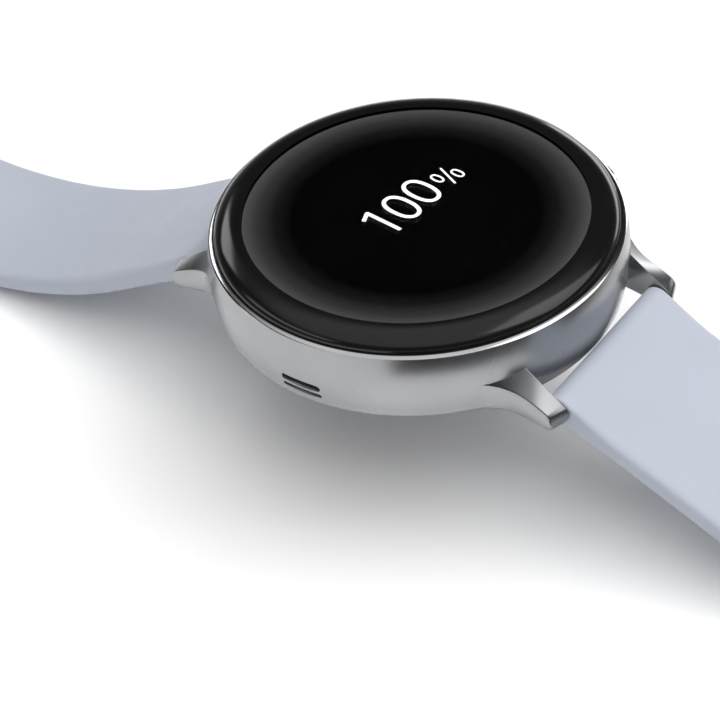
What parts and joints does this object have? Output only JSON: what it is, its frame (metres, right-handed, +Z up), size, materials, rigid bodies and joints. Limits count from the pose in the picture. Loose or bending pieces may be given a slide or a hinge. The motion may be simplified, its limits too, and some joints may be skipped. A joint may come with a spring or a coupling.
{
  "type": "smartwatch",
  "caption": "Round wrist watch with a touch display, side buttons, glass sensor back and a two-piece silicone strap with a tongue buckle.",
  "frame": {"origin": "bottom centre of the whole object, on the table it stands on", "axes": "+Z up out of the display, +Y towards 12 o'clock along the strap, +X towards 3 o'clock"},
  "size_m": [0.0433, 0.2434, 0.0257],
  "materials": {
    "case_aluminium": "satin anodised silver",
    "front_glass": "polished glass",
    "black_mask": "black printed film",
    "display": "black display panel, lit digits",
    "black_rubber": "matt black seal",
    "dark_plastic": "dark grey moulded plastic",
    "steel": "bright steel",
    "circuit_board": "green solder mask",
    "chip_plastic": "moulded chip package",
    "flex_film": "amber flexible circuit",
    "battery_foil": "laminated foil pouch",
    "mesh": "fine woven mesh",
    "brass_cap": "gold plated cap",
    "tungsten": "sintered tungsten",
    "copper": "enamelled copper wire",
    "ferrite": "matt ferrite",
    "black_board": "black solder mask",
    "sensor_parts": "clear sensor packages",
    "back_glass": "dark polished glass",
    "back_cover": "smooth silver grey",
    "strap_silicone": "smooth matt silicone, pale blue grey"
  },
  "bodies": {
    "case": {"case": "case_aluminium", "crystal": "front_glass", "touch_ring": "black_mask", "display_panel": "display", "display_seal": "black_rubber", "inner_frame": "dark_plastic", "frame_screws": "steel", "main_board": "circuit_board", "board_chips": "chip_plastic", "shield_can": "steel", "display_flex": "flex_film", "battery": "battery_foil", "speaker": "dark_plastic", "speaker_mesh": "mesh", "microphone": "brass_cap", "motor_can": "steel", "charging_coil": "copper", "ferrite_sheet": "ferrite", "sensor_board": "black_board", "sensor_leds": "sensor_parts", "sensor_window": "back_glass", "back_cover": "back_cover", "back_seal": "black_rubber", "button_seals": "black_rubber", "button_flex": "flex_film", "button_switches": "steel"},
    "upper_strap": {"buckle_strap": "strap_silicone", "upper_bar_tube": "steel", "upper_bar_spring": "steel", "buckle_pin": "steel"},
    "lower_strap": {"hole_strap": "strap_silicone", "lower_bar_tube": "steel", "lower_bar_spring": "steel"},
    "upper_button": {"upper_button": "case_aluminium", "upper_button_clip": "steel"},
    "lower_button": {"lower_button": "case_aluminium", "lower_button_clip": "steel"},
    "motor_rotor": {"motor_rotor": "tungsten"},
    "upper_bar_plunger": {"upper_bar_plunger": "steel"},
    "lower_bar_plunger": {"lower_bar_plunger": "steel"},
    "buckle": {"buckle_frame": "case_aluminium"},
    "tongue": {"buckle_tongue": "case_aluminium"},
    "keeper": {"keeper": "strap_silicone"}
  },
  "joints": [
    {"name": "upper_strap_hinge", "type": "hinge", "parent": "case", "child": "upper_strap", "pos_m": [0, 0.0383, 0.01615], "axis": [1, 0, 0], "range_deg": [-60, 50]},
    {"name": "lower_strap_hinge", "type": "hinge", "parent": "case", "child": "lower_strap", "pos_m": [0, -0.00654, 0.01615], "axis": [-1, 0, 0], "range_deg": [-65, 50]},
    {"name": "upper_button_press", "type": "slide", "parent": "case", "child": "upper_button", "axis": [-0.9135, -0.4067, 0], "range_m": [0, 0.00035], "stiffness_N_per_m": 4000, "springref_m": -0.0004},
    {"name": "lower_button_press", "type": "slide", "parent": "case", "child": "lower_button", "axis": [-0.9135, 0.4067, 0], "range_m": [0, 0.00035], "stiffness_N_per_m": 4000, "springref_m": -0.0004},
    {"name": "motor_spin", "type": "hinge", "parent": "case", "child": "motor_rotor", "pos_m": [0, 0.03138, 0.0192], "axis": [0, 0, 1], "continuous": true},
    {"name": "upper_bar_release", "type": "slide", "parent": "upper_strap", "child": "upper_bar_plunger", "axis": [-1, 0, 0], "range_m": [0, 0.0013], "stiffness_N_per_m": 800, "springref_m": -0.0008},
    {"name": "lower_bar_release", "type": "slide", "parent": "lower_strap", "child": "lower_bar_plunger", "axis": [-1, 0, 0], "range_m": [0, 0.0013], "stiffness_N_per_m": 800, "springref_m": -0.0008},
    {"name": "buckle_swing", "type": "hinge", "parent": "upper_strap", "child": "buckle", "pos_m": [0, 0.11218, 0.00786], "axis": [1, 0, 0], "range_deg": [-70, 25]},
    {"name": "tongue_lift", "type": "hinge", "parent": "buckle", "child": "tongue", "pos_m": [0, 0.11218, 0.00786], "axis": [1, 0, 0], "range_deg": [0, 80]},
    {"name": "keeper_slide", "type": "slide", "parent": "upper_strap", "child": "keeper", "axis": [0, 0.9613, 0.2756], "range_m": [-0.005, 0.003]}
  ]
}
